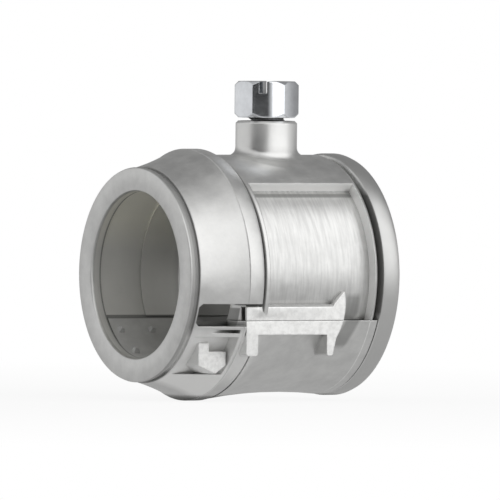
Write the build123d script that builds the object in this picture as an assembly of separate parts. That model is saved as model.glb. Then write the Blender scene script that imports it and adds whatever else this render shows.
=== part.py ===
from build123d import *
import math
import os

# A straight clamp-screw cable connector, die-cast in two shells, with a pressure saddle on its screw.
# Millimetres. The bore axis is X and the screw axis is parallel to Z. The origin is the centre of the
# front mouth, and +X runs from the front to the rear.

# Bore, front lip ring and collar
bore_radius = 11.9
mouth_round = 0.45
mouth_wall_length = 1.7
lip_wall = 3.4
lip_length = 1.0
lip_round = 0.3
lip_rear_round = 0.25
neck_step = 0.3
neck_length = 0.5
collar_front_step = 0.1
collar_middle_step = 1.15
collar_rear_step = 2.65
collar_length = 10.95
collar_round = 0.7
bead_length = 2.6
bead_step = 0.08

# Trough and rear flange
trough_wall = 4.4
trough_front_step = 0.65
trough_waist = 0.3
flange_step = 0.15
flange_length = 3.2
flange_round = 0.8
throat_lip = 2.1
throat_round = 0.5

# Cap between the collar and the rear flange
cap_length = 19.1
seam_gap = 0.35
flange_gap = 0.5
cap_wall = 4.6
cap_bore_step = 0.6
cap_edge_round = 0.6
side_step = 1.7
side_front_rim = 0.9
side_rear_rim = 0.6
pad_floor_depth = 5.3
pad_edge_depth = 3.9
pad_side_slope = 0.86
spigot_length = 2.5
spigot_wall = 1.1
spigot_gap = 0.3

# Parting plane, side ears and ledges
split_drop = 6.2
split_gap = 0.04
ear_reach = 0.9
ear_top_drop = 3.9
bar_round = 0.35
ear_root = 0.6
ear_slot_wall = 0.4
ear_slot_width = 1.1
ear_slot_depth = 2.0
ear_slot_roof = 0.35
ledge_depth = 2.0
ledge_relief = 0.4
leg_length = 2.0
leg_depth = 3.0
leg_round = 0.5

# Fluke at the rear end of the side bar: its outline, behind the bar's front and below the bore axis
fluke_neck_x = 14.7
fluke_neck_drop = 3.8
fluke_tip_x = 16.4
fluke_tip_drop = 2.0
fluke_belly_x = 16.55
fluke_belly_drop = 4.9
fluke_back_x = 15.1
fluke_back_drop = 8.6
fluke_foot_x = 13.5
fluke_foot_length = 1.0
fluke_foot_drop = 11.2
fluke_round = 0.4

# Side window, pocket and lug under it
window_front = 1.7
window_drop = 7.0
window_round = 0.5
window_gap = 0.12
sill_height = 1.5
sill_groove_drop = 0.45
sill_groove_height = 0.5
sill_groove_depth = 0.25
pocket_height = 5.4
pocket_depth = 0.9
pocket_rear_margin = 0.4
lug_setback = 1.4
lug_front_width = 2.6
lug_rear_width = 1.9
lug_lateral = 12.9
lug_front_turn = 0.35
lug_rear_turn = 0.3
lug_top_gap = 0.9
lug_step_width = 1.6
lug_step_height = 1.2
lug_side_height = 3.2
lug_point_height = 4.35

# Screw boss
screw_setback = 10.6
boss_radius = 4.4
boss_rise = 4.85
boss_fillet = 1.3
boss_edge_round = 0.35

# Clamp screw
screw_radius = 2.6
screw_clearance = 0.07
head_across_flats = 7.94
head_turn = 1.7
head_height = 5.2
head_gap = 0.45
head_chamfer = 0.55
slot_width = 1.1
slot_depth = 1.7
slot_turn = 50.6
neck_pin_radius = 1.5
neck_pin_clearance = 0.08
rivet_radius = 2.3
rivet_height = 0.7
shoulder_gap = 0.1

# Pressure saddle and its pocket
saddle_travel = 5.0
saddle_drop = 5.0
saddle_curve_step = 2.3
saddle_thickness = 1.6
saddle_length = 13.0
saddle_half_angle = 62.0
saddle_corner_round = 2.0
pocket_clearance = 0.35

# Grip liner
liner_recess = 0.25
liner_thickness = 0.55
liner_gap = 0.05
liner_end_gap = 0.3
liner_edge_gap = 0.15
tooth_height = 0.65
tooth_width = 1.1
tooth_taper = 38.0
tooth_rows = 6
tooth_first = 1.4
tooth_columns = 5
tooth_column_angle = 24.0

# Small rounds are turned as a few short cones
round_chords = 2
bulge_chords = 6

# Places that follow from the sizes above
lip_radius = bore_radius + lip_wall
neck_radius = lip_radius - neck_step
collar_front_radius = lip_radius + collar_front_step
collar_middle_radius = lip_radius + collar_middle_step
collar_rear_radius = lip_radius + collar_rear_step
liner_radius = bore_radius + liner_recess
trough_inner_radius = liner_radius + liner_thickness + liner_gap
trough_radius = trough_inner_radius + trough_wall
flange_radius = trough_radius + flange_step
rear_throat_radius = trough_inner_radius - throat_lip - liner_recess
cap_bore_radius = bore_radius + cap_bore_step
cap_radius = cap_bore_radius + cap_wall
side_radius = cap_radius - side_step
pad_floor_height = cap_radius - pad_floor_depth
pad_edge_height = cap_radius - pad_edge_depth
cap_front = collar_length + seam_gap
cap_rear = cap_front + cap_length
flange_front = cap_rear + flange_gap
overall_length = flange_front + flange_length
screw_x = cap_front + screw_setback
spigot_front = cap_front - spigot_length
boss_height = cap_radius + boss_rise
saddle_apex_rest = bore_radius - saddle_drop
saddle_inner_radius = bore_radius - saddle_curve_step
saddle_centre_z = saddle_apex_rest - saddle_inner_radius
ear_lateral = cap_radius - ear_reach
ear_top = -ear_top_drop
split_z = -split_drop
ledge_length = fluke_neck_x
beyond = 2 * cap_radius


def at(x, z):
    """Point of the XZ plane."""
    return (x, 0, z)


def eased(before, corner, after, radius):
    """Points that round a corner with a few chords of an arc."""
    middle = Vector(*corner)
    back = (Vector(*before) - middle).normalized()
    ahead = (Vector(*after) - middle).normalized()
    half = math.acos(back.dot(ahead)) / 2
    sweep = math.pi - 2 * half
    centre = middle + (back + ahead).normalized() * (radius / math.sin(half))
    start = middle + back * (radius / math.tan(half)) - centre
    end = middle + ahead * (radius / math.tan(half)) - centre
    points = []
    for step in range(round_chords + 1):
        turn = sweep * step / round_chords
        point = centre + (start * math.sin(sweep - turn) + end * math.sin(turn)) / math.sin(sweep)
        points.append((point.X, point.Y))
    return points


def rounded(face, x, z, radius):
    """The XZ face with the corner nearest to (x, z) rounded."""
    corner = face.vertices().sort_by_distance(at(x, z))[0]
    return fillet(corner, radius)


def face_from(corners):
    """Closed XZ face through (x, z, rounding) corners."""
    points = []
    for i, (x, z, rounding) in enumerate(corners):
        if rounding > 0:
            before = corners[i - 1][:2]
            after = corners[(i + 1) % len(corners)][:2]
            points += eased(before, (x, z), after, rounding)
        else:
            points.append((x, z))
    return make_face(Polyline(*[at(x, z) for x, z in points], close=True))


def turned(corners):
    """Solid of revolution about the bore axis."""
    return revolve(face_from(corners), Axis.X)


def bulge(start, middle, end):
    """Corners along the arc through three points, without its ends."""
    arc = ThreePointArc(at(*start), at(*middle), at(*end))
    shares = [step / bulge_chords for step in range(1, bulge_chords)]
    return [((arc @ share).X, (arc @ share).Z, 0) for share in shares]


def block(x0, x1, y0, y1, z0, z1):
    """Upright block between two corners."""
    centre = ((x0 + x1) / 2, (y0 + y1) / 2, (z0 + z1) / 2)
    return Pos(*centre) * Box(x1 - x0, y1 - y0, z1 - z0)


def ring(x0, x1, outer, inner):
    """Plain ring about the bore axis."""
    return turned([(x0, inner, 0), (x1, inner, 0), (x1, outer, 0), (x0, outer, 0)])


def bore_core(radius):
    """Long cylinder on the bore axis, to clear a hollow."""
    return Rot(0, 90, 0) * Cylinder(radius, 4 * overall_length)


def on_side(solid, side):
    """The near side is -1 and the far side +1. Parts are drawn on the far side and mirrored to the near."""
    return solid if side > 0 else mirror(solid, Plane.XZ)


def collar():
    """Lip, neck and bulging collar turned from one profile."""
    neck_end = lip_length + neck_length
    bead_front = collar_length - bead_length
    bulge_start = (neck_end, collar_front_radius)
    bulge_end = (bead_front, collar_rear_radius - bead_step)
    bulge_middle = ((neck_end + bead_front) / 2, collar_middle_radius)
    return turned([
        (0, bore_radius, mouth_round),
        (mouth_wall_length, bore_radius, 0),
        (mouth_wall_length, trough_inner_radius, 0),
        (collar_length, trough_inner_radius, 0),
        (collar_length, collar_rear_radius, collar_round),
        (bead_front, collar_rear_radius, 0),
        (*bulge_end, 0),
        *reversed(bulge(bulge_start, bulge_middle, bulge_end)),
        (*bulge_start, 0),
        (neck_end, neck_radius, 0),
        (lip_length, neck_radius, 0),
        (lip_length, lip_radius, lip_rear_round),
        (0, lip_radius, lip_round),
    ])


def trough_and_flange():
    """Lower trough with a shallow waist, and the full rear flange ring."""
    outer_start = (collar_length, trough_radius + trough_front_step)
    outer_end = (flange_front, trough_radius)
    waist = ((collar_length + flange_front) / 2, trough_radius - trough_waist)
    trough = turned([
        (collar_length, trough_inner_radius, 0),
        (flange_front, trough_inner_radius, 0),
        (*outer_end, 0),
        *reversed(bulge(outer_start, waist, outer_end)),
        (*outer_start, 0),
    ])
    above = block(collar_length, flange_front, -beyond, beyond, split_z, beyond)
    flange = turned([
        (flange_front, rear_throat_radius, throat_round),
        (overall_length, rear_throat_radius, throat_round),
        (overall_length, flange_radius, flange_round),
        (flange_front, flange_radius, flange_round),
    ])
    return (trough - above) + flange


def ledge(side):
    """Ledge under the cap's ear, with its foot at the front."""
    start = spigot_front
    bottom = split_z - ledge_depth
    shelf = block(start, start + ledge_length, 0, ear_lateral, bottom, split_z)
    foot = block(start, start + leg_length, 0, ear_lateral, bottom - leg_depth, split_z)
    tips = foot.edges().filter_by(Axis.Y).group_by(Axis.Z)[0]
    foot = fillet(tips, leg_round)
    return on_side((shelf + foot) - bore_core(trough_inner_radius), side)


def ledge_flat(side):
    """Flat on the casting's side, so that the ledge stands proud of it."""
    start = spigot_front - window_gap
    end = spigot_front + ledge_length
    low = split_z - ledge_depth - leg_depth
    return on_side(block(start, end, ear_lateral - ledge_relief, beyond, low, split_z), side)


def fluke(side, low, high):
    """Fluke at the rear end of the side bar, between two heights, in the bar's outer plane."""
    start = spigot_front
    outline = make_face([
        Polyline(
            at(start + fluke_back_x, -fluke_back_drop),
            at(start + fluke_foot_x + fluke_foot_length, -fluke_foot_drop),
            at(start + fluke_foot_x, -fluke_foot_drop),
            at(start + fluke_foot_x, split_z),
            at(start + fluke_neck_x, -fluke_neck_drop),
            at(start + fluke_tip_x, -fluke_tip_drop),
        ),
        ThreePointArc(
            at(start + fluke_tip_x, -fluke_tip_drop),
            at(start + fluke_belly_x, -fluke_belly_drop),
            at(start + fluke_back_x, -fluke_back_drop),
        ),
    ])
    for x in (fluke_foot_x, fluke_foot_x + fluke_foot_length):
        outline = rounded(outline, start + x, -fluke_foot_drop, fluke_round)
    plate = extrude(outline, ear_lateral, dir=(0, 1, 0))
    kept = block(start, cap_rear, 0, beyond, low, high)
    return on_side((plate & kept) - bore_core(side_radius - ear_root), side)


def window():
    """Near-side window through the collar wall, with the notch behind it for the cap's ear."""
    top = ear_top + window_gap
    opening = block(window_front, spigot_front, -beyond, 0, -window_drop, top)
    front_edges = opening.edges().filter_by(Axis.Y).group_by(Axis.X)[0]
    opening = chamfer(front_edges, window_round)
    notch = block(spigot_front - window_gap, cap_front, -beyond, 0, split_z, top)
    return opening + notch


def side_pocket():
    """Recess in the collar under the window sill, with a curved floor, and a groove along the sill."""
    top = -window_drop - sill_height
    rear = collar_length - bead_length - pocket_rear_margin
    recess = block(window_front, rear, -beyond, -bore_radius / 2, top - pocket_height, top)
    groove_top = -window_drop - sill_groove_drop
    groove = block(window_front, rear, -beyond, -bore_radius / 2, groove_top - sill_groove_height, groove_top)
    recess = recess - bore_core(collar_middle_radius - pocket_depth)
    return recess + (groove - bore_core(collar_middle_radius - sill_groove_depth))


def lug():
    """Cast lug in the pocket: a slightly folded plate with a stepped head and a pointed foot."""
    top = -window_drop - sill_height - lug_top_gap
    front = window_front + lug_setback
    fold = front + lug_front_width
    rear = fold + lug_rear_width
    plan = Polyline(
        (front, 0, 0),
        (front, -lug_lateral + lug_front_turn, 0),
        (fold, -lug_lateral, 0),
        (rear, -lug_lateral + lug_rear_turn, 0),
        (rear, 0, 0),
        close=True,
    )
    post = Pos(0, 0, -beyond) * extrude(make_face(plan), beyond)
    outline = Polyline(
        at(front, top),
        at(front + lug_step_width, top),
        at(front + lug_step_width, top - lug_step_height),
        at(rear, top - lug_step_height),
        at(rear, top - lug_side_height),
        at(fold, top - lug_point_height),
        at(front, top - lug_side_height),
        close=True,
    )
    shield = extrude(make_face(outline), beyond, dir=(0, -1, 0))
    return (post & shield) - bore_core(trough_inner_radius)


def body():
    """One casting: lip, collar, trough, ledges and rear flange."""
    solid = collar() + trough_and_flange()
    recess = ring(
        spigot_front,
        collar_length,
        cap_bore_radius + spigot_wall + spigot_gap,
        liner_radius,
    )
    upper = block(0, overall_length, -beyond, beyond, split_z, beyond)
    solid = solid - (recess & upper)
    for side in (-1, 1):
        solid = solid - ledge_flat(side) + ledge(side) + fluke(side, -beyond, split_z)
    return solid - side_pocket() + lug() - window()


def ear_slot():
    """Slot in the front end of the near-side ear."""
    outer = ear_lateral - ear_slot_wall
    roof = ear_top - ear_slot_roof
    return block(spigot_front, spigot_front + ear_slot_depth, -outer, ear_slot_width - outer, split_z, roof)


def ear(side, start):
    """Side ear of the cap that rests on the ledge."""
    end = spigot_front + ledge_length
    solid = block(start, end, 0, ear_lateral, split_z + split_gap, ear_top)
    top_edge = solid.edges().filter_by(Axis.X).group_by(Axis.Z)[-1].sort_by(Axis.Y)[-1]
    return on_side(chamfer(top_edge, bar_round) - bore_core(cap_bore_radius), side)


def pressure_pocket():
    """Cored room in the cap for the retracted saddle."""
    half = saddle_length / 2 + pocket_clearance
    roof = saddle_apex_rest + saddle_travel + saddle_thickness + pocket_clearance
    return ring(screw_x - half, screw_x + half, roof, 0)


def side_plates(sign):
    """Room beside the pad, where the cap's wall steps in to the side plate."""
    pad_half = math.sqrt(cap_radius ** 2 - pad_edge_height ** 2)
    outline = Polyline(
        (0, sign * beyond, -beyond),
        (0, sign * beyond, pad_edge_height),
        (0, sign * pad_half, pad_edge_height),
        (0, sign * pad_half * pad_side_slope, pad_floor_height),
        (0, 0, pad_floor_height),
        (0, 0, -beyond),
        close=True,
    )
    return extrude(make_face(outline), overall_length, dir=(1, 0, 0))


def cap():
    """Upper shell: pad, recessed side plates, ears, locating spigot and screw boss."""
    shell = turned([
        (cap_front, cap_bore_radius, 0),
        (cap_rear, cap_bore_radius, 0),
        (cap_rear, cap_radius, cap_edge_round),
        (cap_front, cap_radius, cap_edge_round),
    ])
    side_cut = ring(cap_front + side_front_rim, cap_rear - side_rear_rim, beyond, side_radius)
    shell = shell - (side_cut & (side_plates(-1) + side_plates(1)))
    spigot = ring(spigot_front, cap_front, cap_bore_radius + spigot_wall, cap_bore_radius)
    lower = block(0, overall_length, -beyond, beyond, -beyond, split_z + split_gap)
    boss = Pos(screw_x, 0, boss_height / 2) * Cylinder(boss_radius, boss_height)
    joined = shell + boss
    root = [
        edge for edge in joined.edges()
        if edge.geom_type not in (GeomType.LINE, GeomType.CIRCLE)
        and abs(edge.center().X - screw_x) < boss_radius
        and edge.center().Z > pad_edge_height
    ]
    solid = fillet(root, boss_fillet) + spigot - pressure_pocket() - lower
    solid = solid - bore_core(cap_bore_radius)
    solid = solid + (ear(-1, spigot_front) - ear_slot()) + ear(1, cap_front)
    for side in (-1, 1):
        solid = solid + fluke(side, split_z + split_gap, beyond)
    hole = Pos(screw_x, 0, boss_height / 2) * Cylinder(screw_radius + screw_clearance, 2 * boss_height)
    solid = solid - hole
    return chamfer(solid.edges().filter_by(GeomType.CIRCLE).group_by(Axis.Z)[-1], boss_edge_round)


def saddle():
    """Curved plate with rounded corners, held on the screw's riveted tip."""
    half = saddle_length / 2
    arc = ring(-half, half, saddle_inner_radius + saddle_thickness, saddle_inner_radius)
    spread = math.radians(saddle_half_angle)
    reach = beyond
    wedge = Polyline(
        (-half, 0, 0),
        (-half, reach * math.sin(spread), reach * math.cos(spread)),
        (-half, reach, reach),
        (-half, -reach, reach),
        (-half, -reach * math.sin(spread), reach * math.cos(spread)),
        close=True,
    )
    plate = arc & extrude(make_face(wedge), saddle_length, dir=(1, 0, 0))
    corners = [
        edge for edge in plate.edges().filter_by(GeomType.LINE)
        if abs(edge.length - saddle_thickness) < saddle_thickness / 10
    ]
    plate = fillet(corners, saddle_corner_round)
    hole = Cylinder(neck_pin_radius + neck_pin_clearance, overall_length)
    return Pos(screw_x, 0, saddle_centre_z) * (plate - hole)


def clamp_screw():
    """Tall slotted hexagon head on a plain shank, with a necked and riveted tip."""
    head_bottom = boss_height + head_gap
    plate_top = saddle_apex_rest + saddle_thickness
    shoulder = plate_top + shoulder_gap
    under_rivet_edge = math.sqrt(saddle_inner_radius ** 2 - rivet_radius ** 2)
    rivet_top = saddle_centre_z + under_rivet_edge - shoulder_gap
    corner_radius = head_across_flats / math.sqrt(3)
    prism = Rot(0, 0, head_turn + 30) * extrude(RegularPolygon(corner_radius, 6), head_height)
    barrel = revolve(
        make_face(Polyline(
            (0, 0, 0),
            (corner_radius - head_chamfer, 0, 0),
            (corner_radius, 0, head_chamfer),
            (corner_radius, 0, head_height - head_chamfer),
            (corner_radius - head_chamfer, 0, head_height),
            (0, 0, head_height),
            close=True,
        )),
        Axis.Z,
    )
    slot = Pos(0, 0, head_height) * Rot(0, 0, slot_turn)
    slot = slot * Box(2 * head_across_flats, slot_width, 2 * slot_depth)
    head = Pos(0, 0, head_bottom) * ((prism & barrel) - slot)
    shank = Pos(0, 0, (shoulder + head_bottom) / 2) * Cylinder(screw_radius, head_bottom - shoulder)
    pin = Pos(0, 0, (rivet_top + shoulder) / 2) * Cylinder(neck_pin_radius, shoulder - rivet_top)
    rivet = Pos(0, 0, rivet_top - rivet_height / 2) * Cylinder(rivet_radius, rivet_height)
    rivet = chamfer(rivet.edges().group_by(Axis.Z)[0], rivet_height / 2)
    return Pos(screw_x, 0, 0) * (head + shank + pin + rivet)


def grip_liner():
    """Thin trough in the lower bore, with rows of punched teeth."""
    front = mouth_wall_length + liner_end_gap
    rear = flange_front - liner_end_gap
    trough = ring(front, rear, liner_radius + liner_thickness, liner_radius)
    above = block(0, overall_length, -beyond, beyond, split_z - liner_edge_gap, beyond)
    solid = trough - above
    middle = (tooth_columns - 1) / 2
    root = liner_radius + liner_thickness / 2
    reach = liner_thickness / 2 + tooth_height
    blank = Pos(0, 0, -root) * extrude(Rectangle(tooth_width, tooth_width), reach, taper=tooth_taper / 2)
    pitch = (rear - front - 2 * tooth_first) / (tooth_rows - 1)
    for row in range(tooth_rows):
        for column in range(tooth_columns):
            turn = (column - middle) * tooth_column_angle
            place = Pos(front + tooth_first + row * pitch, 0, 0) * Rot(turn, 0, 0)
            solid = solid + place * blank
    return solid


PIECES = {
    "body": body,
    "cap": cap,
    "grip_liner": grip_liner,
    "pressure_saddle": saddle,
    "clamp_screw": clamp_screw,
}

os.makedirs("parts", exist_ok=True)
for name, make in PIECES.items():
    export_step(make(), f"parts/{name}.step")
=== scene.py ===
import math

import bmesh
import bpy
from mathutils import Matrix, Vector


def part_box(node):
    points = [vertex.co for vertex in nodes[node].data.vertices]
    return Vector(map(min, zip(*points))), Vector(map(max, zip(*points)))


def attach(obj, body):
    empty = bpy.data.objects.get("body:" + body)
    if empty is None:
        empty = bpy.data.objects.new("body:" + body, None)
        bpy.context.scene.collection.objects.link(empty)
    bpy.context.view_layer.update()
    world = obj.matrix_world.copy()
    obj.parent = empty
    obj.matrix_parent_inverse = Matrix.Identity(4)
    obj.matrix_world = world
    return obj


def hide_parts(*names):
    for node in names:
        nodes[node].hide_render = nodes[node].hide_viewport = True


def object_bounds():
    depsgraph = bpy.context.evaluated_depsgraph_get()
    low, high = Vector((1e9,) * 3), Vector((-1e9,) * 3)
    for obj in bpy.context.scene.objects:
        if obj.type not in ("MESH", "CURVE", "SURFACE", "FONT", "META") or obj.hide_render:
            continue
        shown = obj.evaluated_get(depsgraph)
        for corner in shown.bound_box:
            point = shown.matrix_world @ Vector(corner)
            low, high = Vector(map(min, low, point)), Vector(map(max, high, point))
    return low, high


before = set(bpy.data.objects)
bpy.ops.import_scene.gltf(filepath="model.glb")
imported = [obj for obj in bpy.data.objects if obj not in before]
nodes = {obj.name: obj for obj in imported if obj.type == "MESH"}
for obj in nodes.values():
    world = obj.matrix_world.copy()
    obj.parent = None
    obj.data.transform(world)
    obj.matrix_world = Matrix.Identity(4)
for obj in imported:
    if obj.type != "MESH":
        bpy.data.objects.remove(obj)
cad_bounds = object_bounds()
bpy.context.scene.view_settings.view_transform = "Standard"

MM = 0.001
screw_low, screw_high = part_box("clamp_screw")
screw_axis = (screw_low + screw_high) / 2

# Camera, from the photograph: a long lens, a little above the bore axis, to the left of the near side
IMAGE_PX = 500
MM_PER_PX = 0.1422
MOUTH_PX = (134.5, 276.0)
VIEW_TURN = math.radians(32.0)
VIEW_RISE = math.radians(1.2)
CAMERA_ROLL = math.radians(0.6)
LENS_MM = 1200.0
SENSOR_MM = 36.0
CLIP_START = 0.01
CLIP_END = 20.0

# Studio: azimuths are degrees to the right of the camera, seen from the object, and sizes are metres
ROOM_LEVEL = 0.76
DARK_LEVEL = 0.01
DARK_AZIMUTH = -24.0
DARK_EDGE_COSINES = (0.79, 0.87)
BACK_AZIMUTH = 165.0
BACK_ELEVATION = 35.0
BACK_EDGE_COSINES = (0.3, 0.8)
BACK_SHARE = 0.4
KEY_AZIMUTH = 50.0
KEY_ELEVATION = 30.0
KEY_DISTANCE = 0.6
KEY_RADIANCE = 0.74
KEY_WIDTH = 1.0
KEY_HEIGHT = 0.85
FLOOR_SIZE = 3.0
FLOOR_GREY = 0.80
FLOOR_ROUGHNESS = 0.9
FLOOR_LEVEL = 0.58
FLOOR_GLOSS_SHARE = 0.85
SHADOW_REACH = (0.04, 0.2)
SHADOW_WHITE = 0.9

# Copies of the CAD nodes
WELD = 2e-6
SMOOTH_ANGLE = math.radians(34.0)

# Clamp screw's thread, 32 to the inch, drawn on the plain shank of the CAD model
SCREW_RADIUS_MM = 2.6
SHANK_TOLERANCE_MM = 0.02
SHANK_SLOPE = 0.1
THREAD_PITCH_MM = 25.4 / 32
THREAD_DEPTH_MM = 0.42
THREAD_SIDES = 48
THREAD_RINGS_PER_TURN = 8
FLANK_GAIN = 1.25
FLANK_OFFSET = 0.1
RUN_IN_PITCHES = 0.5
RUN_OUT_PITCHES = 0.25

# Colours and finishes
ZINC_COLOUR = (0.69, 0.69, 0.68)
CAP_COLOUR = (0.70, 0.70, 0.69)
LINER_COLOUR = (0.58, 0.58, 0.57)
SADDLE_COLOUR = (0.45, 0.45, 0.44)
PLATING_COLOUR = (0.80, 0.82, 0.85)
# colour of the painted shade in corners, seams and the bore
PAINTED_SHADE_COLOUR = (0.16, 0.16, 0.155)
# the bore painted lighter and slightly yellow, and its top lighter still, as painted light from below
BORE_LIGHTENED_COLOUR = (0.76, 0.755, 0.72)
BORE_TOP_LIGHT_COLOUR = (1.0, 0.98, 0.86)
BORE_TINT_SHARE = 0.7
EDGE_MM = 0.22
SHARP_EDGE_MM = 0.06
HEAD_EDGE_MM = 0.3
BEVEL_SAMPLES = 6
GRAIN_BUMP = 0.12
PLATING_BUMP = 0.01
RELIEF_MM = 0.05
RAW_METALLIC = 0.5
MATT_METALLIC = 0.25
RAW_ROUGHNESS = 0.22
ROUGH_SPREAD = (0.7, 1.3)
ROUGH_SHARES = (0.85, 1.2)

# Noise: its settings, the spread of values that is used, and the tones or shares at the spread's ends
GRAIN_MM = 0.35
GRAIN_NOISE = {"scale": 1 / (GRAIN_MM * MM)}
MOTTLE_NOISE = {"scale": 480.0, "detail": 4.0, "roughness": 0.6}
MOTTLE_SPREAD = (0.3, 0.7)
MOTTLE_TONES = (0.9, 1.07)
CLOUD_NOISE = {"scale": 90.0, "detail": 2.0}
CLOUD_SPREAD = (0.35, 0.6)
CLOUD_SHARES = (0.3, 1.0)
# mottled painted sheen on the side bars and the lug
SHEEN_NOISE = {"scale": 1700.0, "detail": 2.0}
SHEEN_SPREAD = (0.3, 0.65)
SHEEN_TONES = (1.08, 1.27)
LINE_NOISE = {"scale": 2600.0, "detail": 2.0}
LINE_STRETCH = (1.0, 0.1, 0.1)
LINE_SPREAD = (0.35, 0.65)
LINE_SHARE = 0.3
LINE_TONE = 0.5
LINE_RELIEF = 4.0

# Painted shade where surfaces close in on each other, within a distance, from full to none by how open they
# lie
SHADE_REACH_MM = 1.2
SHADE_SAMPLES = 8
SHADE_OPENNESS = (0.1, 0.72)

# Regions: spans of x, y, z, aside (y to either side), radius (from the bore's axis), reach (from the screw's)
REAR_MM = cad_bounds[1].x / MM
FAR_MM = 40.0
# Width of a span's soft ends, where the span doesn't give its own as a third number
SOFT_MM = 0.03
BORE_RADII_MM = (0.0, 12.9, 0.1)
OUTER_RADII_MM = (13.0, FAR_MM, 0.1)
PLATE_SPAN_MM = (12.25, 29.75)
PLATE_RADII_MM = (14.9, 15.5)
STEP_RADII_MM = (15.45, 17.05)
SEAM_HEIGHT_MM = (-5.0, FAR_MM, 1.5)
TOP_LIGHT_MM = (3.0, 8.0)
LEG_HEIGHT_MM = (-11.0, -5.0)
LEG_EDGE_MM = (25.8, 27.8)
LEG_SHADE_MM = (-1.4, 0.4, 0.5)
BORE = {"x": (0.7, REAR_MM - 0.1, 0.3), "radius": BORE_RADII_MM}
DEEP = {"x": (18.0, FAR_MM, 4.0)}
MOUTH_WALL = {"x": (0.5, 1.5, 0.1), "radius": BORE_RADII_MM}
MOUTH_LINE = {"x": (1.5, 1.8, 0.1), "radius": BORE_RADII_MM}
LINER_LINE = {"x": (1.8, FAR_MM), "z": (-6.45, -6.05, 0.08), "radius": BORE_RADII_MM}
WINDOW = {"x": (1.9, 10.7, 0.2), "y": (-FAR_MM, 0.0), "z": (-9.0, -4.5, 0.2), "radius": (10.5, 15.0, 0.3)}
PLATE = {"x": PLATE_SPAN_MM, "radius": PLATE_RADII_MM}
UPPER_PLATE = {"x": PLATE_SPAN_MM, "z": (9.0, FAR_MM, 4.0), "radius": PLATE_RADII_MM}
PAD_EDGE = {"x": PLATE_SPAN_MM, "z": (11.85, 13.2), "radius": STEP_RADII_MM}
PAD_FOOT = {"x": PLATE_SPAN_MM, "z": (11.3, 11.6, 0.25), "radius": PLATE_RADII_MM}
RIM_WALL = {"x": (29.75, 29.85), "radius": STEP_RADII_MM}
SIDE_BARS = {"x": (8.75, 26.1), "z": (-FAR_MM, 0.0), "aside": (16.17, 16.23)}
LUG = {"x": (3.05, 7.65), "y": (-12.95, -12.5), "z": (-FAR_MM, -9.2)}
POCKET = {"x": (1.4, 10.9, 1.0), "y": (-FAR_MM, -7.5, 1.5), "z": (-14.2, -8.6, 1.5)}
LOW_COLLAR = {"x": (1.8, 8.2, 0.4), "y": (-FAR_MM, -4.5, 2.0), "z": (-18.0, -14.0, 1.8),
              "radius": (15.1, 18.5, 0.2)}
LIP_EDGE = {"x": (0.35, 1.5, 0.2), "radius": (14.9, 15.38, 0.1)}
FLANGE = {"x": (REAR_MM - 2.8, FAR_MM)}
BOSS = {"z": (18.5, FAR_MM, 1.0)}
BOSS_FOOT = {"z": (13.2, FAR_MM), "reach": (5.3, 7.4, 0.6)}
HEEL = {"z": (-9.6, -3.0, 0.8), "aside": (8.0, FAR_MM)}
FRONT_SEAM = {"x": (10.95, 11.6, 0.15), "z": SEAM_HEIGHT_MM, "radius": OUTER_RADII_MM}
REAR_SEAM = {"x": (REAR_MM - 3.7, REAR_MM - 2.9, 0.1), "z": SEAM_HEIGHT_MM, "radius": OUTER_RADII_MM}
OVER_TOP = {"z": (13.5, FAR_MM, 2.0)}

# What happens in the regions: painted shade with its share, the zinc's painted light and shade as a tone with
# its share, and kinds of face
DEEP_SHARE = 0.85
TOP_SHARE = 0.15
SEAM_SHARE = 0.95
HEEL_SHARE = 0.55
BOSS_FOOT_SHARE = 0.5
BORE_SHADES = ((MOUTH_WALL, 0.3), (MOUTH_LINE, 0.75), (LINER_LINE, 0.75), (WINDOW, 0.6))
ZINC_SHADES = ((FRONT_SEAM, SEAM_SHARE), (PAD_FOOT, 0.75), (LIP_EDGE, 0.55))
ZINC_LIGHT_AND_SHADE_TONES = ((UPPER_PLATE, 1.18, 1.0), (BOSS, 1.16, 1.0), (PAD_EDGE, 1.4, 1.0), (RIM_WALL, 1.4, 1.0),
              (FLANGE, 0.85, 1.0), (POCKET, 1.2, 0.6), (LOW_COLLAR, 1.35, 1.0))
SHEEN_FACES = (SIDE_BARS, LUG)
MATT_FACES = (PAD_EDGE, RIM_WALL, LUG, POCKET)
PROUD_FACES = (*SHEEN_FACES, PAD_EDGE, RIM_WALL)
# how much of the painted shade is taken off what stands proud and off the pocket
PROUD_UNSHADED = 0.85
POCKET_UNSHADED = 0.8

# Screw head: its flat sides reflect as if a little barrelled, and its slot has sharper edges
BARREL_SHARE = 0.36
UPRIGHT_RANGE = (0.1, 0.5)
SLOT_TURN = math.radians(50.6)
SLOT_NORMAL = (-math.sin(SLOT_TURN), math.cos(SLOT_TURN), 0)
SLOT_HALF_MM = (0.75, 0.95)
SLOT_DEPTH_MM = (2.0, 1.9)

# Sockets of the mix node, which has one set for each kind of data
MIX_FACTOR = 0
MIX_VECTORS = (4, 5)
MIX_VECTOR_OUT = 1
MIX_COLOURS = (6, 7)
MIX_COLOUR_OUT = 2


def in_metres(sizes_mm):
    """Millimetres to the scene's metres."""
    return [size * MM for size in sizes_mm]


def view_axes():
    """Forward, right and up of the camera before its roll."""
    flat = Vector((math.sin(VIEW_TURN), math.cos(VIEW_TURN), 0))
    forward = flat * math.cos(VIEW_RISE) - Vector((0, 0, math.sin(VIEW_RISE)))
    right = Vector((flat.y, -flat.x, 0))
    up = right.cross(forward)
    return forward, right, up


def studio_direction(azimuth, elevation=0.0):
    """Direction from the object, with its azimuth in degrees to the right of the camera."""
    forward, right = view_axes()[:2]
    back = Vector((-forward.x, -forward.y, 0)).normalized()
    turn = math.radians(azimuth)
    rise = math.radians(elevation)
    flat = back * math.cos(turn) + right * math.sin(turn)
    return flat * math.cos(rise) + Vector((0, 0, math.sin(rise)))


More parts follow.
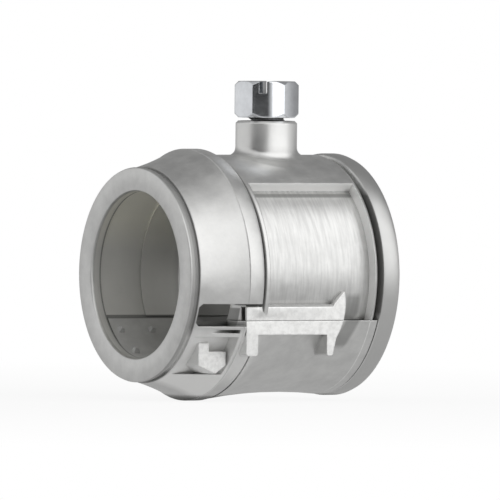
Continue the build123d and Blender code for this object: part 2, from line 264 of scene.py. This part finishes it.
def make_camera():
    """Camera at the photograph's angle. The front mouth's centre lands on its pixel."""
    forward, right, up = view_axes()
    width = IMAGE_PX * MM_PER_PX * MM
    distance = width * LENS_MM / SENSOR_MM
    across = (IMAGE_PX / 2 - MOUTH_PX[0]) * MM_PER_PX * MM
    above = (MOUTH_PX[1] - IMAGE_PX / 2) * MM_PER_PX * MM
    aim = right * across + up * above
    data = bpy.data.cameras.new("camera")
    data.lens = LENS_MM
    data.sensor_width = SENSOR_MM
    data.clip_start = CLIP_START
    data.clip_end = CLIP_END
    camera = bpy.data.objects.new("camera", data)
    camera.location = aim - forward * distance
    turn = forward.to_track_quat("-Z", "Y").to_matrix().to_4x4()
    camera.rotation_euler = (turn @ Matrix.Rotation(CAMERA_ROLL, 4, "Z")).to_euler()
    bpy.context.scene.collection.objects.link(camera)
    bpy.context.scene.camera = camera


def new_material(name):
    """Node material with its tree and its principled shader."""
    material = bpy.data.materials.new(name)
    material.use_nodes = True
    tree = material.node_tree
    return material, tree, tree.nodes["Principled BSDF"]


def add(tree, kind, **settings):
    """A node with some of its properties and inputs set."""
    node = tree.nodes.new(kind)
    for key, value in settings.items():
        if hasattr(node, key):
            setattr(node, key, value)
        else:
            node.inputs[key].default_value = value
    return node


def maths(tree, operation, *values):
    """A maths node on sockets or plain numbers, and its output."""
    node = add(tree, "ShaderNodeMath", operation=operation)
    for value, entry in zip(values, node.inputs):
        if isinstance(value, (int, float)):
            entry.default_value = value
        else:
            tree.links.new(value, entry)
    return node.outputs[0]


def vector_maths(tree, operation, vector):
    """A vector maths node with its first input linked."""
    node = add(tree, "ShaderNodeVectorMath", operation=operation)
    tree.links.new(vector, node.inputs[0])
    return node


def ranged(tree, value, low, high, to_low, to_high, smooth=False):
    """The value mapped from one range to another, clamped."""
    node = add(tree, "ShaderNodeMapRange")
    node.interpolation_type = "SMOOTHSTEP" if smooth else "LINEAR"
    tree.links.new(value, node.inputs["Value"])
    for name, number in (("From Min", low), ("From Max", high), ("To Min", to_low), ("To Max", to_high)):
        node.inputs[name].default_value = number
    return node.outputs["Result"]


def between(tree, mask, at_zero, at_one):
    """A number that a mask moves from one value to another."""
    return ranged(tree, mask, 0.0, 1.0, at_zero, at_one)


def inverse(tree, mask):
    """One minus a mask."""
    return maths(tree, "SUBTRACT", 1.0, mask)


def band(tree, value, low, high, soft=SOFT_MM):
    """One between two limits and zero outside them, in millimetres, with soft ends."""
    rise = ranged(tree, value, (low - soft) * MM, low * MM, 0.0, 1.0)
    fall = ranged(tree, value, high * MM, (high + soft) * MM, 1.0, 0.0)
    return maths(tree, "MULTIPLY", rise, fall)


def all_of(tree, *masks):
    """Product of masks and plain shares."""
    product = masks[0]
    for mask in masks[1:]:
        product = maths(tree, "MULTIPLY", product, mask)
    return product


def either(tree, *masks):
    """Largest of masks."""
    largest = masks[0]
    for mask in masks[1:]:
        largest = maths(tree, "MAXIMUM", largest, mask)
    return largest


def toned(colour, tone):
    """A colour made darker or brighter."""
    return [part * tone for part in colour]


def mixed(tree, share, first, second):
    """Two colours mixed by a mask. Each is a socket, or three numbers that are kept to one at most."""
    mix = add(tree, "ShaderNodeMix", data_type="RGBA")
    tree.links.new(share, mix.inputs[MIX_FACTOR])
    for index, colour in zip(MIX_COLOURS, (first, second)):
        if isinstance(colour, (list, tuple)):
            mix.inputs[index].default_value = (*[min(1.0, part) for part in colour], 1)
        else:
            tree.links.new(colour, mix.inputs[index])
    return mix.outputs[MIX_COLOUR_OUT]


def noise(tree, vector, scale, detail=3.0, roughness=0.55):
    """Noise value at the given vector."""
    node = add(tree, "ShaderNodeTexNoise", Scale=scale, Detail=detail)
    node.inputs["Roughness"].default_value = roughness
    tree.links.new(vector, node.inputs["Vector"])
    return node.outputs["Fac"]


def along(tree, vector, direction):
    """How far a vector points along a direction."""
    node = vector_maths(tree, "DOT_PRODUCT", vector)
    node.inputs[1].default_value = direction
    return node.outputs["Value"]


def from_screw(tree, place):
    """The shaded point's offset from the screw's axis, level with it."""
    offset = vector_maths(tree, "MULTIPLY_ADD", place)
    offset.inputs[1].default_value = (1, 1, 0)
    offset.inputs[2].default_value = (-screw_axis.x, -screw_axis.y, 0)
    return offset.outputs[0]


def coordinates(tree, place):
    """Where the shaded point lies, by the names that regions use."""
    split = add(tree, "ShaderNodeSeparateXYZ")
    tree.links.new(place, split.inputs[0])
    x, y, z = split.outputs
    aside = maths(tree, "ABSOLUTE", y)
    squares = [maths(tree, "MULTIPLY", axis, axis) for axis in (y, z)]
    radius = maths(tree, "SQRT", maths(tree, "ADD", *squares))
    reach = vector_maths(tree, "LENGTH", from_screw(tree, place)).outputs["Value"]
    return {"x": x, "y": y, "z": z, "aside": aside, "radius": radius, "reach": reach}


class Coat:
    """A metal's material in the making: where the shaded point lies, its colour so far and its painted shade.
    """

    def __init__(self, name, colour):
        self.material, self.tree, self.shader = new_material(name)
        self.colour = colour
        tree = self.tree
        self.place = add(tree, "ShaderNodeTexCoord").outputs["Object"]
        self.where = coordinates(tree, self.place)
        self.raw = self.within(BORE)
        self.mottle = noise(tree, self.place, **MOTTLE_NOISE)
        self.clouds = noise(tree, self.place, **CLOUD_NOISE)
        self.grain = noise(tree, self.place, **GRAIN_NOISE)
        tones = [toned(colour, tone) for tone in MOTTLE_TONES]
        self.surface = mixed(tree, ranged(tree, self.mottle, *MOTTLE_SPREAD, 0.0, 1.0), *tones)
        # painted shade in corners and crevices, from ambient occlusion
        near = add(tree, "ShaderNodeAmbientOcclusion", samples=SHADE_SAMPLES)
        near.inputs["Distance"].default_value = SHADE_REACH_MM * MM
        self.painted_shade = ranged(tree, near.outputs["AO"], *SHADE_OPENNESS, 1.0, 0.0, smooth=True)

    def within(self, region):
        """One inside all spans of a region, and zero outside them."""
        spans = [band(self.tree, self.where[name], *span) for name, span in region.items()]
        return all_of(self.tree, *spans)

    def within_any(self, regions):
        """One inside any of the regions."""
        return either(self.tree, *[self.within(region) for region in regions])

    def tint(self, colour, *masks):
        """Mixes a colour into the surface by the product of masks."""
        self.surface = mixed(self.tree, all_of(self.tree, *masks), self.surface, colour)

    def paint_shade(self, *masks):
        """Adds painted shade by the product of masks."""
        self.painted_shade = either(self.tree, self.painted_shade, all_of(self.tree, *masks))

    def soft_edges(self, edge_mm, sharp=None):
        """Normal with rounded edges, which are sharper where a mask says so."""
        bevel = add(self.tree, "ShaderNodeBevel", samples=BEVEL_SAMPLES)
        bevel.inputs["Radius"].default_value = edge_mm * MM
        if sharp is not None:
            radius = between(self.tree, sharp, edge_mm * MM, SHARP_EDGE_MM * MM)
            self.tree.links.new(radius, bevel.inputs["Radius"])
        return bevel.outputs[0]

    def finish(self, normal, roughness, bump=GRAIN_BUMP, matt=None):
        """Links the shader. The bore and what the painted shade covers are dull, and a mask can name matt
        faces.
        """
        tree = self.tree
        link = tree.links.new
        # painted shade darkens the colour here
        self.tint(PAINTED_SHADE_COLOUR, self.painted_shade)
        link(self.surface, self.shader.inputs["Base Color"])
        dull = either(tree, self.raw, self.painted_shade)
        uneven = maths(tree, "ADD", self.mottle, self.clouds)
        rough = ranged(tree, uneven, *ROUGH_SPREAD, *[share * roughness for share in ROUGH_SHARES])
        rougher = maths(tree, "ADD", rough, maths(tree, "MULTIPLY", dull, RAW_ROUGHNESS))
        link(rougher, self.shader.inputs["Roughness"])
        metallic = between(tree, dull, 1.0, RAW_METALLIC)
        if matt is not None:
            metallic = maths(tree, "MINIMUM", metallic, between(tree, matt, 1.0, MATT_METALLIC))
        link(metallic, self.shader.inputs["Metallic"])
        relief = add(tree, "ShaderNodeBump", Strength=bump, Distance=RELIEF_MM * MM)
        link(self.grain, relief.inputs["Height"])
        link(normal, relief.inputs["Normal"])
        link(relief.outputs["Normal"], self.shader.inputs["Normal"])
        return self.material


def shade_bore(coat):
    """Painted shade: the hollow darkens towards the rear, most of all low down, and so do its mouth and its
    lines.
    """
    lower = ranged(coat.tree, coat.where["z"], *in_metres(TOP_LIGHT_MM), DEEP_SHARE, TOP_SHARE)
    coat.paint_shade(coat.within(DEEP), coat.raw, lower)
    # painted shade at the mouth wall, the mouth's line, the liner's line and the window
    for region, share in BORE_SHADES:
        coat.paint_shade(coat.within(region), share)


def paint_light_on_zinc(coat):
    """Painted light and shade as tones from place to place, a mottled painted sheen on the bars and the lug,
    and a raw bore painted lighter and slightly yellow.
    """
    tree = coat.tree
    # painted light and shade: regions made brighter or darker than the zinc
    for region, tone, share in ZINC_LIGHT_AND_SHADE_TONES:
        coat.tint(toned(coat.colour, tone), coat.within(region), share)
    # mottled painted sheen, brighter than the zinc, on the side bars and the lug
    specks = ranged(tree, noise(tree, coat.place, **SHEEN_NOISE), *SHEEN_SPREAD, 0.0, 1.0)
    sheen = mixed(tree, specks, *[toned(coat.colour, tone) for tone in SHEEN_TONES])
    coat.tint(sheen, coat.within_any(SHEEN_FACES))
    # painted light in the bore, lighter still towards its top
    coat.tint(BORE_LIGHTENED_COLOUR, coat.raw, BORE_TINT_SHARE)
    upwards = ranged(tree, coat.where["z"], *in_metres(TOP_LIGHT_MM), 0.0, 1.0)
    coat.tint(BORE_TOP_LIGHT_COLOUR, coat.raw, BORE_TINT_SHARE, upwards)


def score_plates(coat):
    """Fine lines round the recessed side plates, darker and sunk in."""
    tree = coat.tree
    stretched = add(tree, "ShaderNodeMapping")
    stretched.inputs["Scale"].default_value = LINE_STRETCH
    tree.links.new(coat.place, stretched.inputs["Vector"])
    streaks = noise(tree, stretched.outputs[0], **LINE_NOISE)
    lines = all_of(tree, ranged(tree, streaks, *LINE_SPREAD, LINE_SHARE, 0.0), coat.within(PLATE))
    coat.tint(toned(coat.colour, LINE_TONE), lines)
    coat.grain = maths(tree, "SUBTRACT", coat.grain, maths(tree, "MULTIPLY", lines, LINE_RELIEF))


def shade_zinc(coat):
    """Painted shade in the seams and corners, behind the rear leg and at the boss's foot. What stands proud,
    the pocket and the rear seam's top are kept free of it.
    """
    tree = coat.tree
    for region, share in ZINC_SHADES:
        coat.paint_shade(coat.within(region), share)
    rear_seam = coat.within(REAR_SEAM)
    over_top = coat.within(OVER_TOP)
    coat.paint_shade(rear_seam, inverse(tree, over_top), SEAM_SHARE)
    # the rear leg slants, and so does the shade behind it
    leg_edge = ranged(tree, coat.where["z"], *in_metres(LEG_HEIGHT_MM), *in_metres(LEG_EDGE_MM))
    behind = band(tree, maths(tree, "SUBTRACT", coat.where["x"], leg_edge), *LEG_SHADE_MM)
    coat.paint_shade(behind, coat.within(HEEL), HEEL_SHARE)
    # uneven painted shade at the boss's foot
    uneven = ranged(tree, coat.clouds, *CLOUD_SPREAD, *CLOUD_SHARES)
    coat.paint_shade(coat.within(BOSS_FOOT), uneven, BOSS_FOOT_SHARE)
    proud = all_of(tree, coat.within_any(PROUD_FACES), PROUD_UNSHADED)
    pocket = all_of(tree, coat.within(POCKET), POCKET_UNSHADED)
    unshaded = either(tree, proud, pocket, all_of(tree, rear_seam, over_top))
    coat.painted_shade = all_of(tree, coat.painted_shade, inverse(tree, unshaded))


def zinc_material(name, colour, roughness):
    """Die-cast zinc: satin and mottled, with a fine grain, soft edges, grey painted shade in the recesses and
    painted light and shade from place to place.
    """
    coat = Coat(name, colour)
    shade_bore(coat)
    paint_light_on_zinc(coat)
    score_plates(coat)
    shade_zinc(coat)
    return coat.finish(coat.soft_edges(EDGE_MM, sharp=coat.raw), roughness, matt=coat.within_any(MATT_FACES))


def liner_material():
    """Plain rolled steel, shaded as the bore is."""
    coat = Coat("liner_steel", LINER_COLOUR)
    shade_bore(coat)
    return coat.finish(coat.soft_edges(SHARP_EDGE_MM), roughness=0.42)


def saddle_material():
    """Pressed steel with a thin coat of zinc."""
    coat = Coat("saddle_steel", SADDLE_COLOUR)
    return coat.finish(coat.soft_edges(EDGE_MM), roughness=0.4)


def barrelled(coat, normal):
    """Normal of the screw's flat sides, turned a little to the radial direction, as on a headed blank."""
    tree = coat.tree
    link = tree.links.new
    radial = vector_maths(tree, "NORMALIZE", from_screw(tree, coat.place))
    world = add(tree, "ShaderNodeVectorTransform", vector_type="VECTOR")
    world.convert_from = "OBJECT"
    world.convert_to = "WORLD"
    link(radial.outputs[0], world.inputs[0])
    split = add(tree, "ShaderNodeSeparateXYZ")
    link(normal, split.inputs[0])
    upright = ranged(tree, maths(tree, "ABSOLUTE", split.outputs["Z"]), *UPRIGHT_RANGE, BARREL_SHARE, 0.0)
    mix = add(tree, "ShaderNodeMix", data_type="VECTOR")
    link(upright, mix.inputs[MIX_FACTOR])
    for index, direction in zip(MIX_VECTORS, (normal, world.outputs[0])):
        link(direction, mix.inputs[index])
    return vector_maths(tree, "NORMALIZE", mix.outputs[MIX_VECTOR_OUT]).outputs[0]


def plated_material():
    """Bright, slightly blue zinc plate on the screw."""
    coat = Coat("plated_screw", PLATING_COLOUR)
    tree = coat.tree
    across_slot = maths(tree, "ABSOLUTE", along(tree, from_screw(tree, coat.place), SLOT_NORMAL))
    beside = ranged(tree, across_slot, *in_metres(SLOT_HALF_MM), 1.0, 0.0)
    heights = [screw_high.z - depth for depth in in_metres(SLOT_DEPTH_MM)]
    above = ranged(tree, coat.where["z"], *heights, 0.0, 1.0)
    normal = barrelled(coat, coat.soft_edges(HEAD_EDGE_MM, sharp=all_of(tree, beside, above)))
    return coat.finish(normal, roughness=0.07, bump=PLATING_BUMP)


def skin(node, body, material):
    """A welded, smooth-shaded copy of a CAD node that stands for it."""
    source = nodes[node].data
    mesh = bpy.data.meshes.new(node + "_skin")
    mesh.from_pydata([v.co[:] for v in source.vertices], [], [f.vertices[:] for f in source.polygons])
    work = bmesh.new()
    work.from_mesh(mesh)
    bmesh.ops.remove_doubles(work, verts=work.verts, dist=WELD)
    work.to_mesh(mesh)
    work.free()
    mesh.shade_smooth()
    mesh.set_sharp_from_angle(angle=SMOOTH_ANGLE)
    mesh.materials.append(material)
    piece = bpy.data.objects.new(node + "_skin", mesh)
    bpy.context.scene.collection.objects.link(piece)
    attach(piece, body)
    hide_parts(node)
    return piece


def is_shank_wall(face):
    """Whether a face of the screw lies on its plain shank."""
    reaches = [math.hypot(v.co.x - screw_axis.x, v.co.y - screw_axis.y) for v in face.verts]
    on_shank = all(abs(reach - SCREW_RADIUS_MM * MM) < SHANK_TOLERANCE_MM * MM for reach in reaches)
    return on_shank and abs(face.normal.z) < SHANK_SLOPE


def thread_ring(z, low, high):
    """Points of the thread at one height. Its depth runs out at both ends of the shank."""
    pitch = THREAD_PITCH_MM * MM
    runout = min(1.0, (z - low) / (pitch * RUN_IN_PITCHES), (high - z) / (pitch * RUN_OUT_PITCHES))
    ring = []
    for side in range(THREAD_SIDES):
        turn = 2 * math.pi * side / THREAD_SIDES
        phase = ((z - low) / pitch - side / THREAD_SIDES) % 1.0
        flank = min(1.0, max(0.0, abs(2 * phase - 1) * FLANK_GAIN - FLANK_OFFSET))
        reach = (SCREW_RADIUS_MM - THREAD_DEPTH_MM * (1 - flank) * max(0.0, runout)) * MM
        ring.append((screw_axis.x + reach * math.cos(turn), screw_axis.y + reach * math.sin(turn), z))
    return ring


def thread_skin(node, body, material):
    """The screw's copy with its plain shank wall taken off and a helical thread in its place."""
    mesh = skin(node, body, material).data
    work = bmesh.new()
    work.from_mesh(mesh)
    wall = [face for face in work.faces if is_shank_wall(face)]
    heights = [v.co.z for face in wall for v in face.verts]
    low, high = min(heights), max(heights)
    bmesh.ops.delete(work, geom=wall, context="FACES")
    rings = math.ceil((high - low) / (THREAD_PITCH_MM * MM) * THREAD_RINGS_PER_TURN)
    grid = []
    for step in range(rings + 1):
        z = low + (high - low) * step / rings
        grid.append([work.verts.new(point) for point in thread_ring(z, low, high)])
    for lower, upper in zip(grid, grid[1:]):
        for side in range(THREAD_SIDES):
            after = (side + 1) % THREAD_SIDES
            face = work.faces.new((lower[side], lower[after], upper[after], upper[side]))
            face.smooth = True
    work.to_mesh(mesh)
    work.free()


def background(tree, strength):
    """White background, with a strength that is a socket or a number."""
    node = add(tree, "ShaderNodeBackground", Color=(1, 1, 1, 1))
    if isinstance(strength, float):
        node.inputs["Strength"].default_value = strength
    else:
        tree.links.new(strength, node.inputs["Strength"])
    return node.outputs[0]


def mixed_shader(tree, share, first, second):
    """Two shaders mixed by a mask."""
    mix = add(tree, "ShaderNodeMixShader")
    for entry, source in zip(mix.inputs, (share, first, second)):
        tree.links.new(source, entry)
    return mix.outputs[0]


def make_world():
    """White to the camera. Reflections see a pale room, dark behind the camera and dimmer at the back."""
    world = bpy.data.worlds.new("studio")
    bpy.context.scene.world = world
    world.use_nodes = True
    tree = world.node_tree
    tree.nodes.clear()
    output = add(tree, "ShaderNodeOutputWorld")
    outward = add(tree, "ShaderNodeTexCoord").outputs["Generated"]
    towards_dark = along(tree, outward, studio_direction(DARK_AZIMUTH))
    dark_side = ranged(tree, towards_dark, *DARK_EDGE_COSINES, ROOM_LEVEL, DARK_LEVEL, smooth=True)
    towards_back = along(tree, outward, studio_direction(BACK_AZIMUTH, BACK_ELEVATION))
    back_side = ranged(tree, towards_back, *BACK_EDGE_COSINES, 1.0, BACK_SHARE, smooth=True)
    room = background(tree, maths(tree, "MULTIPLY", dark_side, back_side))
    white = background(tree, 1.0)
    camera_ray = add(tree, "ShaderNodeLightPath").outputs["Is Camera Ray"]
    tree.links.new(mixed_shader(tree, camera_ray, room, white), output.inputs["Surface"])


def floor_material():
    """Pale floor, white to the camera but for the object's soft shadow, and evenly lit in reflections."""
    material, tree, shader = new_material("floor")
    shader.inputs["Base Color"].default_value = (FLOOR_GREY, FLOOR_GREY, FLOOR_GREY, 1)
    shader.inputs["Roughness"].default_value = FLOOR_ROUGHNESS
    ray = add(tree, "ShaderNodeLightPath")
    reflected = add(tree, "ShaderNodeEmission", Strength=FLOOR_LEVEL)
    glossy = maths(tree, "MULTIPLY", ray.outputs["Is Glossy Ray"], FLOOR_GLOSS_SHARE)
    lit = mixed_shader(tree, glossy, shader.outputs[0], reflected.outputs[0])
    glow = add(tree, "ShaderNodeEmission", Strength=1.0)
    place = add(tree, "ShaderNodeTexCoord").outputs["Object"]
    distance = vector_maths(tree, "LENGTH", place).outputs["Value"]
    whiteness = ranged(tree, distance, *SHADOW_REACH, SHADOW_WHITE, 1.0)
    white = maths(tree, "MULTIPLY", ray.outputs["Is Camera Ray"], whiteness)
    seen = mixed_shader(tree, white, lit, glow.outputs[0])
    tree.links.new(seen, tree.nodes["Material Output"].inputs["Surface"])
    return material


def make_floor():
    """Plain floor under the object."""
    low = cad_bounds[0].z
    half = FLOOR_SIZE / 2
    mesh = bpy.data.meshes.new("floor")
    corners = [(-half, -half, low), (half, -half, low), (half, half, low), (-half, half, low)]
    mesh.from_pydata(corners, [], [(0, 1, 2, 3)])
    mesh.materials.append(floor_material())
    floor = bpy.data.objects.new("floor", mesh)
    bpy.context.scene.collection.objects.link(floor)


def make_key_light():
    """Soft lamp in front of the near side, aimed at the middle of the bore's axis."""
    data = bpy.data.lights.new("key", "AREA")
    data.shape = "RECTANGLE"
    data.size = KEY_WIDTH
    data.size_y = KEY_HEIGHT
    data.energy = KEY_RADIANCE * math.pi * KEY_WIDTH * KEY_HEIGHT
    lamp = bpy.data.objects.new("key", data)
    aim = Vector(((cad_bounds[0].x + cad_bounds[1].x) / 2, 0, 0))
    out = studio_direction(KEY_AZIMUTH, KEY_ELEVATION)
    lamp.location = aim + out * KEY_DISTANCE
    lamp.rotation_euler = (-out).to_track_quat("-Z", "Y").to_euler()
    bpy.context.scene.collection.objects.link(lamp)


make_camera()
make_world()
make_floor()
make_key_light()

skin("body", "housing", zinc_material("cast_zinc", ZINC_COLOUR, roughness=0.38))
skin("cap", "housing", zinc_material("cast_zinc_cap", CAP_COLOUR, roughness=0.36))
skin("grip_liner", "housing", liner_material())
skin("pressure_saddle", "saddle", saddle_material())
thread_skin("clamp_screw", "screw", plated_material())
